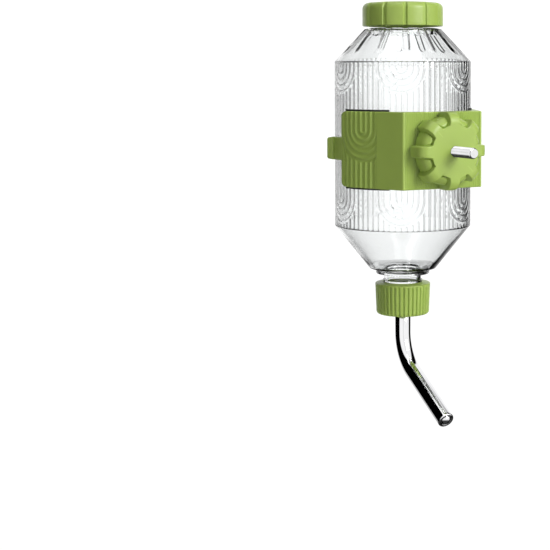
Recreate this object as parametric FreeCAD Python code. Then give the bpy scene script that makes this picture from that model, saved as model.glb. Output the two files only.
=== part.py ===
"""Hanging water bottle for a rabbit hutch, clamped to the wires of the cage.

A clear bottle stands in an open spring clip. It fills from above under a wide screw cap,
and drips through a bent steel spout that a ribbed screw cap holds on its lower neck. A stud
in the clip goes between the cage's wires, and a lobed knob on the stud clamps them.

Row frame, millimetres: the origin is on the stud's axis in the clip's clamping face.
+X runs along the stud towards the cage, +Z is up, and the bottle stands at negative X.
"""
import FreeCAD, Part
import math
import os

V = FreeCAD.Vector
ORIGIN = V(0, 0, 0)
X, Y, Z = V(1, 0, 0), V(0, 1, 0), V(0, 0, 1)

# ---- Driving dimensions ----------------------------------------------------------------

# Bottle: a blown shell of even wall, open at both ends
body_d = 76.0               # over the straight band
bottle_wall = 1.4
band_top = 47.5             # band's top edge above the stud's axis
band_h = 91.5
shoulder_h = 17.85          # fluted cone above the band
shoulder_lip = 1.4          # flat ledge round the fill neck's root
foot_cone_h = 24.15         # smooth cone below the band
foot_d = 37.6               # lower end of that cone
foot_drop = 1.5             # how far the foot dips towards the outlet neck
band_round = 0.8            # rounding at both ends of the band
foot_round = 0.6
fill_neck_d = 39.8
fill_neck_h = 10.5
outlet_neck_d = 20.7
outlet_neck_h = 17.25       # below the support ring
support_ring_d = 30.2
support_ring_h = 1.6
flute_count = 14
flute_w = 3.8
flute_depth = 0.6
flute_run = 0.70            # share of the shoulder's slope that a flute takes
flute_phase_deg = -36.4

# Fill cap and its gasket
fill_cap_wall = 2.05
fill_cap_h = 13.7
fill_cap_dome = 1.1
fill_cap_plate = 3.25       # at the middle of the dome
fill_cap_round = 3.0
fill_groove_count = 12
fill_groove_w = 1.5
fill_groove_depth = 0.6
fill_groove_phase_deg = -25.9
fill_gasket_t = 1.5
fill_gasket_w = 3.2

# Ribbed nozzle cap, spout gasket, collar, tube and ball
nozzle_cap_wall = 4.65      # at the top
nozzle_cap_taper = 0.7      # how much thinner it is at the bottom
nozzle_cap_h = 18.5
nozzle_cap_floor = 2.5
nozzle_cap_round = 1.6
nozzle_rim_round = 0.5
nozzle_rim_h = 2.0          # plain rim above the ribs
nozzle_rim_drop = 1.0       # how far the rim slopes down to its outer edge
rib_count = 38
rib_gap_w = 1.15
rib_depth = 0.55
rib_phase_deg = -27.9
spout_gasket_t = 2.0
spout_gasket_hole_d = 10.0
collar_t = 1.2
collar_margin = 1.55        # collar's edge to the nozzle cap's bore
tube_d = 9.1
tube_wall = 0.8
tube_below_cap = 10.5       # straight run before the bend
bend_r = 23.55
bend_deg = 60.7
tube_end_run = 41.0         # straight run after the bend
lip_catch = 0.6             # how far the lip laps over the ball
lip_h = 1.1
lip_edge = 0.25
ball_play = 2.5
dimple_r = 1.6

# Clip: clamping block, two arms and two finger tabs in one moulding
stand_off = 5.7             # bottle's side to the clamping face
block_w = 49.3
block_corner_round = 1.0
clip_h = 41.1
clip_wall = 2.7
arm_end_deg = 84.5          # from the stud's direction
arm_corner_round = 4.0
tab_h = 12.6
tab_wrap_deg = 96.0
tab_flare_deg = 52.0
tab_len = 4.9
tab_t = 2.2
tab_corner_round = 2.0
core_wall = 2.5             # walls round the cored pockets
core_half_gap = 13.0        # solid middle of the block, each side of the stud
grip_pitch = 1.24
grip_depth = 0.35
grip_margin = 0.8           # plain edge beside the outermost grip groove

# Stud, washer, knob and threaded insert
stud_d = 6.0
stud_thread_trim = 0.15     # how much thinner it is beyond the knob
stud_relief_depth = 0.4     # run-out groove at the root of that stretch
stud_relief_w = 1.0
stud_beyond_knob = 18.1
stud_chamfer = 0.6
stud_head_af = 12.0
stud_head_t = 1.6
washer_d = 18.0
washer_t = 1.0
knob_d = 41.6
knob_t = 11.8
knob_edge_round = 5.6
knob_back_round = 0.8
lobe_count = 8
lobe_w = 5.8
lobe_h = 2.5                # above the web, the knob's body between the lobes
web_drop = 1.8              # its face below the lobes' face
web_edge_round = 5.6
scoop_depth = 8.2           # hollow between two lobes, from the rim inwards
scoop_round = 1.4
insert_wall = 1.35
insert_len = 8.0
knob_hub_wall = 2.6
knob_core_w = 6.5           # cored ring round the hub, in the knob's back
knob_core_depth = 7.0

round_steps = 3             # chords in the roundings that grooves, ribs or hollows cut

# Clearances
clip_clear = 0.3            # bottle in the clip
thread_room = 0.5           # plain cap bores over the necks, room for the screw threads
gasket_clear = 0.2          # gaskets inside their caps
tube_clear = 0.3            # tube in the nozzle cap's floor
stud_run_clear = 0.05       # insert on the stud
washer_clear = 0.2          # washer on the stud
knob_hole_clear = 0.4       # knob's front hole round the stud
ball_clear = 0.2            # ball in the tube's bore
ball_seat_clear = 0.05
head_to_bottle_clear = 0.5  # stud's head behind the bottle's wall

# ---- Levels and radii that follow --------------------------------------------------------

body_r = body_d / 2
face_to_bottle = body_r + stand_off
axis_x = -face_to_bottle
fill_neck_r = fill_neck_d / 2
outlet_neck_r = outlet_neck_d / 2
band_bottom = band_top - band_h
shoulder_top = band_top + shoulder_h
fill_mouth = shoulder_top + fill_neck_h
foot_z = band_bottom - foot_cone_h
neck_root = foot_z - foot_drop
outlet_mouth = neck_root - support_ring_h - outlet_neck_h

fill_cap_under = fill_mouth + fill_gasket_t
fill_cap_top = fill_cap_under + fill_cap_plate
fill_cap_bottom = fill_cap_top - fill_cap_h
fill_bore_r = fill_neck_r + thread_room
fill_cap_r = fill_bore_r + fill_cap_wall

collar_top = outlet_mouth - spout_gasket_t
nozzle_floor_top = collar_top - collar_t
nozzle_bottom = nozzle_floor_top - nozzle_cap_floor
nozzle_top = nozzle_bottom + nozzle_cap_h
nozzle_bore_r = outlet_neck_r + thread_room
nozzle_cap_r = nozzle_bore_r + nozzle_cap_wall

tube_r = tube_d / 2
tube_bore_r = tube_r - tube_wall
ball_r = tube_bore_r - ball_clear
lip_hole_r = ball_r - lip_catch
bend_top = nozzle_bottom - tube_below_cap

clip_bore_r = body_r + clip_clear
clip_r = clip_bore_r + clip_wall
clip_half = clip_h / 2

stud_r = stud_d / 2
stud_head_back = -stand_off + head_to_bottle_clear
stud_head_front = stud_head_back + stud_head_t
knob_back = washer_t
knob_front = knob_back + knob_t
knob_r = knob_d / 2
insert_r = stud_r + stud_run_clear + insert_wall


# ---- Shapes --------------------------------------------------------------------------------

def rounded_wire(corners, steps=0):
    """Closed wire in the XY plane through (x, y, radius) corners.

    Each corner is turned by a tangent arc or, on a form that is cut many times over, by a
    few chords of that arc.
    """
    turns = []
    for i, (x, y, radius) in enumerate(corners):
        here = V(x, y, 0)
        before = V(*corners[i - 1][:2], 0)
        after = V(*corners[(i + 1) % len(corners)][:2], 0)
        back = (before - here).normalize()
        ahead = (after - here).normalize()
        if radius == 0:
            turns.append([here])
            continue
        half = back.getAngle(ahead) / 2
        start = here + back * (radius / math.tan(half))
        centre = here + (back + ahead).normalize() * (radius / math.sin(half))
        sweep_deg = math.copysign(180 - math.degrees(2 * half), ahead.cross(back).z)
        chords = steps or 2
        turns.append([centre + FreeCAD.Rotation(Z, sweep_deg * k / chords).multVec(start - centre)
                      for k in range(chords + 1)])
    edges = []
    for i, points in enumerate(turns):
        if steps or len(points) == 1:
            edges += [Part.LineSegment(a, b).toShape() for a, b in zip(points, points[1:])]
        else:
            edges.append(Part.Arc(*points).toShape())
        following = turns[(i + 1) % len(turns)][0]
        edges.append(Part.LineSegment(points[-1], following).toShape())
    return Part.Wire(edges)


def turned(corners, steps=0):
    """Solid of revolution about the bottle's axis from (radius, height, rounding) corners."""
    face = Part.Face(rounded_wire(corners, steps))
    face.rotate(ORIGIN, X, 90)
    solid = face.revolve(ORIGIN, Z, 360)
    return solid.translate(V(axis_x, 0, 0))


def rod(radius, start, end):
    """Cylinder between two points."""
    run = end - start
    return Part.makeCylinder(radius, run.Length, start, run)


def pipe_ring(outer_r, inner_r, low, high, at_x=axis_x):
    """Upright ring between two levels."""
    outer = Part.makeCylinder(outer_r, high - low, V(at_x, 0, low))
    inner = Part.makeCylinder(inner_r, high - low, V(at_x, 0, low))
    return outer.cut(inner)


def spun_copies(shape, count, phase_deg, centre, axis):
    """Copies of a shape, evenly spaced about an axis."""
    copies = []
    for i in range(count):
        copy = shape.copy()
        copy.rotate(centre, axis, phase_deg + i * 360 / count)
        copies.append(copy)
    return copies


def block_between(x_range, y_range, z_range):
    """Box between pairs of limits."""
    size = [high - low for low, high in (x_range, y_range, z_range)]
    return Part.makeBox(*size, V(x_range[0], y_range[0], z_range[0]))


def bottle_shell():
    """Blown shell: two necks, a fluted shoulder, the band, a lower cone and a support ring."""
    outside = [
        (fill_neck_r, fill_mouth, 0),
        (fill_neck_r, shoulder_top, 0),
        (fill_neck_r + shoulder_lip, shoulder_top, 0),
        (body_r, band_top, band_round),
        (body_r, band_bottom, band_round),
        (foot_d / 2, foot_z, foot_round),
        (outlet_neck_r, neck_root, 0),
        (outlet_neck_r, outlet_mouth, 0),
    ]
    solid_form = turned([(0, fill_mouth, 0)] + outside + [(0, outlet_mouth, 0)])
    hollow = turned([(0, fill_mouth, 0)] + inside_of(outside) + [(0, outlet_mouth, 0)])
    ring = pipe_ring(support_ring_d / 2, outlet_neck_r - bottle_wall / 2,
                     neck_root - support_ring_h, neck_root + foot_drop / 2)
    shell = solid_form.fuse(ring).removeSplitter().cut(hollow)

    ledge_r = fill_neck_r + shoulder_lip
    slope = V(ledge_r - body_r, 0, shoulder_h).normalize()
    outward = V(slope.z, 0, -slope.x)
    cutter_r = (flute_w ** 2 / 4 + flute_depth ** 2) / (2 * flute_depth)
    sunk = outward * (cutter_r - flute_depth)
    ledge_edge = V(ledge_r, 0, shoulder_top)
    slope_len = math.hypot(body_r - ledge_r, shoulder_h)
    lower_end = ledge_edge - slope * (slope_len * flute_run) + sunk
    upper_end = ledge_edge + slope * (0.8 * shoulder_lip) + sunk
    flute = rod(cutter_r, lower_end, upper_end).fuse(Part.makeSphere(cutter_r, lower_end))
    for cutter in spun_copies(flute, flute_count, flute_phase_deg, ORIGIN, Z):
        cutter.translate(V(axis_x, 0, 0))
        shell = shell.cut(cutter)
    return shell


def inside_of(outline):
    """The outline moved inwards by the bottle's wall, with its roundings matched."""
    inner = []
    for i, (radius, z, rounding) in enumerate(outline):
        before = outline[max(i - 1, 0)]
        after = outline[min(i + 1, len(outline) - 1)]
        here = V(radius, z, 0)
        runs = [here - V(before[0], before[1], 0), V(after[0], after[1], 0) - here]
        normals = [V(run.y, -run.x, 0).normalize() for run in runs if run.Length > 0]
        mitre = (normals[0] + normals[-1]).normalize()
        step = mitre * (bottle_wall / mitre.dot(normals[0]))
        convex = len(normals) == 2 and runs[0].cross(runs[1]).z < 0
        shift = -bottle_wall if convex else bottle_wall
        matched = max(rounding + shift, rounding / 2) if rounding else 0
        inner.append((here.x + step.x, here.y + step.y, matched))
    return inner


def fill_cap():
    """Wide screw cap: a shallow dome with a round shoulder, and narrow grip grooves."""
    cap = turned([
        (0, fill_cap_top, 0),
        (fill_cap_r, fill_cap_top - fill_cap_dome, fill_cap_round),
        (fill_cap_r, fill_cap_bottom, 0),
        (fill_bore_r, fill_cap_bottom, 0),
        (fill_bore_r, fill_cap_under, 0),
        (0, fill_cap_under, 0),
    ], round_steps)
    groove = block_between((fill_cap_r - fill_groove_depth, fill_cap_r + 1),
                           (-fill_groove_w / 2, fill_groove_w / 2),
                           (fill_cap_bottom - 1, fill_cap_top + 1))
    for cutter in spun_copies(groove, fill_groove_count, fill_groove_phase_deg, ORIGIN, Z):
        cutter.translate(V(axis_x, 0, 0))
        cap = cap.cut(cutter)
    return cap


def fill_gasket():
    """Flat ring between the fill cap and the mouth of the bottle."""
    outer_r = fill_bore_r - gasket_clear
    return pipe_ring(outer_r, outer_r - fill_gasket_w, fill_mouth, fill_cap_under)


def nozzle_cap():
    """Ribbed screw cap with a plain rim and a floor that the spout goes through."""
    bottom_r = nozzle_cap_r - nozzle_cap_taper
    cap = turned([
        (tube_r + tube_clear, nozzle_bottom, 0),
        (bottom_r, nozzle_bottom, nozzle_cap_round),
        (nozzle_cap_r, nozzle_top - nozzle_rim_drop, nozzle_rim_round),
        (nozzle_bore_r, nozzle_top, nozzle_rim_round),
        (nozzle_bore_r, nozzle_floor_top, 0),
        (tube_r + tube_clear, nozzle_floor_top, 0),
    ], round_steps)
    lean_deg = math.degrees(math.atan2(nozzle_cap_taper, nozzle_cap_h))
    gap = block_between((-rib_depth, 2), (-rib_gap_w / 2, rib_gap_w / 2),
                        (-1, nozzle_cap_h - nozzle_rim_h))
    gap.rotate(ORIGIN, Y, lean_deg)
    gap.translate(V(bottom_r, 0, nozzle_bottom))
    for cutter in spun_copies(gap, rib_count, rib_phase_deg, ORIGIN, Z):
        cutter.translate(V(axis_x, 0, 0))
        cap = cap.cut(cutter)
    return cap


def spout_gasket():
    """Flat ring between the outlet neck and the spout's collar."""
    return pipe_ring(nozzle_bore_r - gasket_clear, spout_gasket_hole_d / 2,
                     collar_top, outlet_mouth)


def spout_collar():
    """Steel disc pressed on the top of the tube, which the nozzle cap pulls up."""
    return pipe_ring(nozzle_bore_r - collar_margin, tube_r, nozzle_floor_top, collar_top)


bend_start = V(axis_x, 0, bend_top)
bend_centre = V(axis_x + bend_r, 0, bend_top)
spout_way = V(math.sin(math.radians(bend_deg)), 0, -math.cos(math.radians(bend_deg)))
bend_end = bend_centre + V(-math.cos(math.radians(bend_deg)), 0,
                           -math.sin(math.radians(bend_deg))) * bend_r
tip = bend_end + spout_way * tube_end_run
seat_depth = lip_edge + math.sqrt((ball_r + ball_seat_clear) ** 2 - lip_hole_r ** 2)
ball_centre = tip - spout_way * seat_depth


def bent_bar(radius, last):
    """Round bar along the spout's line, from the collar's top to a point after the bend."""
    disc = Part.Face(Part.Wire(Part.makeCircle(radius, bend_start, Z)))
    bend = disc.revolve(bend_centre, Y * -1, bend_deg)
    upper = rod(radius, bend_start, V(axis_x, 0, collar_top))
    lower = rod(radius, bend_end, last)
    return upper.fuse([bend, lower]).removeSplitter()


def spout_tube():
    """Bent steel tube with a rolled lip, and a dimple that keeps the ball at its end."""
    lip_root = tip - spout_way * lip_h
    tube = bent_bar(tube_r, lip_root)
    lip = Part.Face(rounded_wire([
        (0, 0, 0),
        (tube_r, 0, 0),
        (tube_r, lip_h, tube_wall),
        (lip_hole_r, lip_h, 0),
        (lip_hole_r, lip_h - lip_edge, 0),
        (tube_bore_r, 0, 0),
    ][1:]))
    lip.rotate(ORIGIN, X, 90)
    lip = lip.revolve(ORIGIN, Z, 360)
    lip.rotate(ORIGIN, Y, 180 - bend_deg)
    lip.translate(lip_root)

    to_dimple = math.sqrt((ball_r + dimple_r + ball_seat_clear) ** 2
                          - (tube_r - tube_wall / 2) ** 2)
    dimple_at = ball_centre - spout_way * (ball_play + to_dimple)
    bump = Part.makeSphere(dimple_r, dimple_at + Y * (tube_r - tube_wall / 2))
    bump = bump.common(rod(tube_r, lip_root, dimple_at - spout_way * (2 * dimple_r)))
    dent = Part.makeSphere(dimple_r - tube_wall / 2, dimple_at + Y * (tube_r + tube_wall / 4))
    wall = tube.cut(bent_bar(tube_bore_r, lip_root)).fuse([lip, bump])
    return wall.removeSplitter().cut(dent)


def outlet_ball():
    """Steel ball that closes the lip until an animal pushes it in."""
    return Part.makeSphere(ball_r, ball_centre)


def bracket_clip():
    """Clamping block with grip grooves and cored pockets, two arms and two finger tabs."""
    reach = math.hypot(face_to_bottle, block_w / 2)
    tangent_at = math.atan2(block_w / 2, face_to_bottle) + math.acos(clip_r / reach)
    side_x = axis_x + clip_r * math.cos(tangent_at)
    side_y = clip_r * math.sin(tangent_at)
    plan = rounded_wire([
        (0, -block_w / 2, block_corner_round),
        (0, block_w / 2, block_corner_round),
        (side_x, side_y, 0),
        (side_x, -side_y, 0),
    ])
    lift = Z * clip_h
    clip = Part.Face(plan).extrude(lift).translate(V(0, 0, -clip_half)).fuse(clip_arms())
    clip = clip.fuse([finger_tab(1), finger_tab(-1)])
    bore = Part.makeCylinder(clip_bore_r, clip_h, V(axis_x, 0, -clip_half))
    clip = clip.cut(bore).removeSplitter()

    core = Part.Face(plan.makeOffset2D(-core_wall)).extrude(lift)
    core = core.translate(V(0, 0, -clip_half - core_wall))
    core = core.cut(Part.makeCylinder(clip_r, 2 * clip_h, V(axis_x, 0, -clip_h)))
    core = core.cut(block_between((axis_x, 1), (-core_half_gap, core_half_gap),
                                  (-clip_h, clip_h)))
    stud_hole = rod(stud_r, V(stud_head_front - 1, 0, 0), V(1, 0, 0))
    head_pocket = hexagon_prism(stud_head_af, axis_x + clip_bore_r - clip_wall, stud_head_front)
    return clip.cut([core, stud_hole, head_pocket, grip_grooves()])


def clip_arms():
    """Ring sector that hugs the bottle, with its four end corners rounded."""
    sector = Part.makeCylinder(clip_r, clip_h, V(axis_x, 0, -clip_half), Z, 2 * arm_end_deg)
    sector.rotate(V(axis_x, 0, 0), Z, -arm_end_deg)
    sector = sector.cut(Part.makeCylinder(clip_bore_r, clip_h, V(axis_x, 0, -clip_half)))
    ends = [e for e in sector.Edges if abs(e.Length - clip_wall) < 1e-6
            and e.BoundBox.ZLength < 1e-6]
    return sector.makeFillet(arm_corner_round, ends)


def finger_tab(side):
    """Narrow tongue on an arm's end that wraps on round the bottle and then turns out."""
    from_deg = arm_end_deg - 10
    tongue = Part.makeCylinder(clip_r, tab_h, V(axis_x, 0, -tab_h / 2), Z,
                               tab_wrap_deg - from_deg)
    tongue.rotate(V(axis_x, 0, 0), Z, from_deg)
    tongue = tongue.cut(Part.makeCylinder(clip_bore_r, tab_h, V(axis_x, 0, -tab_h / 2)))
    flare = block_between((0, tab_len), (-tab_t / 2, tab_t / 2), (-tab_h / 2, tab_h / 2))
    corners = [e for e in flare.Edges if e.BoundBox.XMin > tab_len - 1e-6
               and e.BoundBox.ZLength < 1e-6]
    flare = flare.makeFillet(tab_corner_round, corners)
    flare.rotate(ORIGIN, Z, tab_wrap_deg + 90 - tab_flare_deg)
    root = V((clip_r - tab_t / 2) * math.cos(math.radians(tab_wrap_deg)),
             (clip_r - tab_t / 2) * math.sin(math.radians(tab_wrap_deg)), 0)
    flare.translate(root + V(axis_x, 0, 0))
    knuckle = Part.makeCylinder(tab_t / 2, tab_h, root + V(axis_x, 0, -tab_h / 2))
    tab = tongue.fuse([flare, knuckle])
    return tab if side > 0 else tab.mirror(ORIGIN, Y)


def hexagon_prism(across_flats, start_x, end_x):
    """Hexagonal prism along the stud's axis."""
    corner_r = across_flats / math.sqrt(3)
    corners = [V(start_x, corner_r * math.sin(math.radians(60 * i)),
                 corner_r * math.cos(math.radians(60 * i))) for i in range(7)]
    return Part.Face(Part.makePolygon(corners)).extrude(X * (end_x - start_x))


def grip_grooves():
    """Comb of upright V grooves over the clamping face."""
    half_w = block_w / 2 - block_corner_round - grip_margin
    count = int(2 * half_w / grip_pitch)
    first = -count * grip_pitch / 2
    teeth = []
    for i in range(count):
        y = first + i * grip_pitch
        teeth.append(V(0, y, 0))
        teeth.append(V(-grip_depth, y + grip_pitch / 2, 0))
    teeth += [V(0, -first, 0), V(1, -first, 0), V(1, first, 0), V(0, first, 0)]
    comb = Part.Face(Part.makePolygon(teeth)).extrude(Z * (2 * clip_h))
    return comb.translate(V(0, 0, -clip_h))


def clamp_stud():
    """Steel stud whose thin hexagon head is trapped behind the clamping face."""
    relief_start = V(knob_front - stud_relief_w, 0, 0)
    relief_end = V(knob_front, 0, 0)
    shank = rod(stud_r, V(stud_head_front, 0, 0), relief_start)
    relief = rod(stud_r - stud_relief_depth, relief_start, relief_end)
    stud_end = knob_front + stud_beyond_knob
    thread = rod(stud_r - stud_thread_trim, relief_end, V(stud_end, 0, 0))
    end_edge = [e for e in thread.Edges if e.BoundBox.XMin > stud_end - 1e-6]
    thread = thread.makeChamfer(stud_chamfer, end_edge)
    head = hexagon_prism(stud_head_af, stud_head_back, stud_head_front)
    return shank.fuse([relief, thread, head]).removeSplitter()


def clamp_washer():
    """Plain steel washer between the knob and the cage's wires."""
    disc = rod(washer_d / 2, ORIGIN, V(washer_t, 0, 0))
    return disc.cut(rod(stud_r + washer_clear, ORIGIN, V(washer_t, 0, 0)))


def knob_body(outer_r, front, edge_round):
    """Round body about the knob's axis with a well-rounded front edge."""
    room = front - knob_back - knob_back_round
    side = Part.Face(rounded_wire([
        (0, knob_back, 0),
        (outer_r, knob_back, knob_back_round),
        (outer_r, front, min(edge_round, 0.95 * room)),
        (0, front, 0),
    ], round_steps))
    side.rotate(ORIGIN, X, 90)
    return side.revolve(ORIGIN, Z, 360)


def clamp_knob():
    """Hand knob: lobes that stand up out of a rounded web, with a hollow between each two."""
    half_step = math.pi / lobe_count

    def half_width(radius):
        return (radius * math.sin(half_step) - lobe_w / 2) / math.cos(half_step)

    scoop_inner_r = knob_r - scoop_depth
    beyond = 2 * knob_r
    hollow = Part.Face(rounded_wire([
        (scoop_inner_r, -half_width(scoop_inner_r), scoop_round),
        (beyond, -half_width(beyond), 0),
        (beyond, half_width(beyond), 0),
        (scoop_inner_r, half_width(scoop_inner_r), scoop_round),
    ])).extrude(Z * (2 * knob_front))
    lobes = knob_body(knob_r, knob_front, knob_edge_round)
    lobes = lobes.cut(spun_copies(hollow, lobe_count, 180 / lobe_count, ORIGIN, Z))
    web = knob_body(knob_r - lobe_h, knob_front - web_drop, web_edge_round)
    knob = lobes.fuse(web).removeSplitter()
    knob.rotate(ORIGIN, Y, 90)

    insert_end = V(knob_back + insert_len, 0, 0)
    back = V(knob_back, 0, 0)
    hub_r = insert_r + knob_hub_wall
    core_end = V(knob_back + knob_core_depth, 0, 0)
    core = rod(hub_r + knob_core_w, back, core_end).cut(rod(hub_r, back, core_end))
    hole = rod(stud_r + knob_hole_clear, back, V(knob_front, 0, 0))
    return knob.cut([core, hole, rod(insert_r, back, insert_end)])


def knob_insert():
    """Brass threaded insert pressed into the back of the knob's hub."""
    back = V(knob_back, 0, 0)
    insert_end = V(knob_back + insert_len, 0, 0)
    sleeve = rod(insert_r, back, insert_end)
    return sleeve.cut(rod(stud_r + stud_run_clear, back, insert_end))


makers = {
    "bracket_clip": bracket_clip,
    "clamp_stud": clamp_stud,
    "clamp_washer": clamp_washer,
    "clamp_knob": clamp_knob,
    "knob_insert": knob_insert,
    "bottle_shell": bottle_shell,
    "fill_gasket": fill_gasket,
    "fill_cap": fill_cap,
    "spout_gasket": spout_gasket,
    "nozzle_cap": nozzle_cap,
    "spout_collar": spout_collar,
    "spout_tube": spout_tube,
    "outlet_ball": outlet_ball,
}

os.makedirs("parts", exist_ok=True)
for name, maker in makers.items():
    shape = maker()
    if shape.ShapeType == "Compound" and len(shape.Solids) == 1:
        shape = shape.Solids[0]
    shape.exportStep(f"parts/{name}.step")
    print(f"{name:14s} solids {len(shape.Solids)} valid {shape.isValid()} "
          f"faces {len(shape.Faces)} volume {shape.Volume:.0f}")
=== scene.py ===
"""Hanging water bottle for a rabbit hutch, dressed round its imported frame.

The sections follow the order in which the bottle is put together: the shell, its fill cap,
the spout with its ball and screw cap, the clip, and last the stud with its knob.
"""
import math
import bmesh
import bpy
from mathutils import Matrix, Vector


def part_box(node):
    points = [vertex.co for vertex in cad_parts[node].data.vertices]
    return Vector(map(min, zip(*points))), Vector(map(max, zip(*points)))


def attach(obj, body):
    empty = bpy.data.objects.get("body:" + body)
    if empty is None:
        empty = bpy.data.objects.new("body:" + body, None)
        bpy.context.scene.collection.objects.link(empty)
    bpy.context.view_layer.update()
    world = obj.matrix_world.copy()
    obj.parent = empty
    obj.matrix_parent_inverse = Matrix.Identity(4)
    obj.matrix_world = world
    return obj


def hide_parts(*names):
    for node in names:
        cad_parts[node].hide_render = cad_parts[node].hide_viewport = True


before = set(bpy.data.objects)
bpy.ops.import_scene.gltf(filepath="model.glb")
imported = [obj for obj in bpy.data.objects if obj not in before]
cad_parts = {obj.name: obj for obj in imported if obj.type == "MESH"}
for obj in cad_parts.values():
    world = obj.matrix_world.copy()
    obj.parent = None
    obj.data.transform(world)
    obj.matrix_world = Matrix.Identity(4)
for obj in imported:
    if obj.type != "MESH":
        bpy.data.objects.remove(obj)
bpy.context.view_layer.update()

# ==== Bottle shell ============================================================================
# Clear blown plastic, open at both ends. The fill neck and the outlet neck carry screw
# threads, the upper shoulder has fourteen round-ended flutes, and the band is covered in
# fine upright ribs with five columns of nested U shapes in three tiers.

mm = 0.001
shell_low, shell_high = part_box("bottle_shell")
bottle_x = (shell_low.x + shell_high.x) / 2
body_r = (shell_high.x - shell_low.x) / 2 / mm
fill_mouth = shell_high.z / mm
outlet_mouth = shell_low.z / mm
shell_wall = 1.4
fill_neck_r = 19.9
fill_neck_h = 10.5
ledge_r = fill_neck_r + 1.4
shoulder_h = 17.85
band_h = 91.5
foot_cone_h = 24.15
foot_r = 18.8
foot_drop = 1.5
outlet_neck_r = 10.35
support_ring_r = 15.1
support_ring_h = 1.6
ring_gap = 0.2
band_round = 0.8
foot_round = 0.6
shoulder_top = fill_mouth - fill_neck_h
band_top = shoulder_top - shoulder_h
band_bottom = band_top - band_h
foot_z = band_bottom - foot_cone_h
neck_root = foot_z - foot_drop

rib_count = 75
rib_h = 0.12
rib_pitch = math.tau * body_r / rib_count
column_step = math.tau * 13 / rib_count
outer_column = 2
middle_column_deg = -30.8
arc_reach = 4.5 * rib_pitch
tier_pitch = 35.6
first_tier_drop = 3.7
tier_count = 3
flute_count = 14
first_flute_deg = 0.0
flute_w = 3.8
flute_depth = 0.6
flute_run = 0.72
thread_h = 0.35
groove_half_w = 0.45
groove_depth = 0.16


def rounded(corners, arc_steps=6):
    """Outline through (radius, height, rounding) corners, with an arc at each rounding."""
    points = []
    for i, (radius, height, rounding) in enumerate(corners):
        here = Vector((radius, height))
        if not rounding:
            points.append(here)
            continue
        back = (Vector(corners[i - 1][:2]) - here).normalized()
        ahead = (Vector(corners[(i + 1) % len(corners)][:2]) - here).normalized()
        half = back.angle(ahead) / 2
        centre = here + (back + ahead).normalized() * (rounding / math.sin(half))
        start = here + back * (rounding / math.tan(half)) - centre
        end = here + ahead * (rounding / math.tan(half)) - centre
        points += [centre + start.slerp(end, k / arc_steps) * rounding
                   for k in range(arc_steps + 1)]
    return points


def divided(outline, run_at):
    """The outline with its straight runs divided to the length that run_at(point) allows."""
    finer = [outline[0]]
    for end in outline[1:]:
        while (end - finer[-1]).length > 1.4 * run_at(finer[-1]):
            finer.append(finer[-1] + (end - finer[-1]).normalized() * run_at(finer[-1]))
        finer.append(end)
    return finer


def turned(outline, steps, closed=True, wedges=8):
    """Form turned about Z in millimetres, as equal wedges; vertices keep their row in "row"."""
    form = bmesh.new()
    row = form.verts.layers.int.new("row")
    points = []
    for number, point in enumerate(outline):
        points.append(form.verts.new((point.x, 0, point.y)))
        points[-1][row] = number
    edges = [form.edges.new(pair) for pair in zip(points, points[1:])]
    if closed:
        edges.append(form.edges.new((points[-1], points[0])))
    bmesh.ops.spin(form, geom=points + edges, cent=(0, 0, 0), axis=(0, 0, 1),
                   angle=math.tau / wedges, steps=steps // wedges)
    bmesh.ops.spin(form, geom=form.verts[:] + form.edges[:] + form.faces[:], cent=(0, 0, 0),
                   axis=(0, 0, 1), angle=math.tau * (wedges - 1) / wedges, steps=wedges - 1,
                   use_duplicate=True)
    bmesh.ops.remove_doubles(form, verts=form.verts, dist=1e-4)
    bmesh.ops.recalc_face_normals(form, faces=form.faces)
    return form


on_bottle_axis = Matrix.Translation((bottle_x, 0, 0))
on_stud_axis = Matrix.Rotation(math.radians(90), 4, "Y")


def finished(name, form, place, sharp_deg=40):
    """Object made from a form in millimetres, set in place and shaded smooth."""
    form.transform(place @ Matrix.Scale(mm, 4))
    mesh = bpy.data.meshes.new(name)
    form.to_mesh(mesh)
    form.free()
    mesh.shade_smooth()
    mesh.set_sharp_from_angle(angle=math.radians(sharp_deg))
    piece = bpy.data.objects.new(name, mesh)
    bpy.context.scene.collection.objects.link(piece)
    return piece


def smooth_step(value, low, high):
    """0 below low, 1 above high and a smooth rise between them."""
    share = min(max((value - low) / (high - low), 0), 1)
    return share * share * (3 - 2 * share)


def screw_ridge(angle, depth, pitch, width):
    """Height, from 0 to 1, of a screw thread's ridge at an angle and a depth from the mouth."""
    place = (depth / pitch - angle / math.tau) % 1 * pitch
    off_crest = abs(place - pitch / 2)
    ends = smooth_step(depth, 1.0, 2.0)
    return (1 - smooth_step(off_crest, width / 4, width / 2)) * ends


def band_relief(angle, depth):
    """Rib height, from 0 to 1, at an angle and a depth below the band's top edge."""
    turn = (angle - math.radians(middle_column_deg) + math.pi) % math.tau - math.pi
    column = min(max(round(turn / column_step), -outer_column), outer_column)
    reach = abs(turn - column * column_step) * body_r
    tier = math.ceil((depth - first_tier_drop - arc_reach) / tier_pitch)
    below = depth - first_tier_drop - min(max(tier, 0), tier_count - 1) * tier_pitch
    if below > 0 and math.hypot(reach, below) < arc_reach:
        reach = math.hypot(reach, below)
    return 0.5 * (1 - math.cos(math.tau * reach / rib_pitch))


def flute_sink(angle, radius, along):
    """Depth of the shoulder's flutes at an angle and a distance along its slope."""
    step = math.tau / flute_count
    turn = (angle - math.radians(first_flute_deg) + step / 2) % step - step / 2
    past_centre = max(along - flute_end, 0)
    off_line = math.hypot(turn * radius, past_centre) / (flute_w / 2)
    return flute_depth * (1 - off_line ** 4) if off_line < 1 else 0


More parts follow.
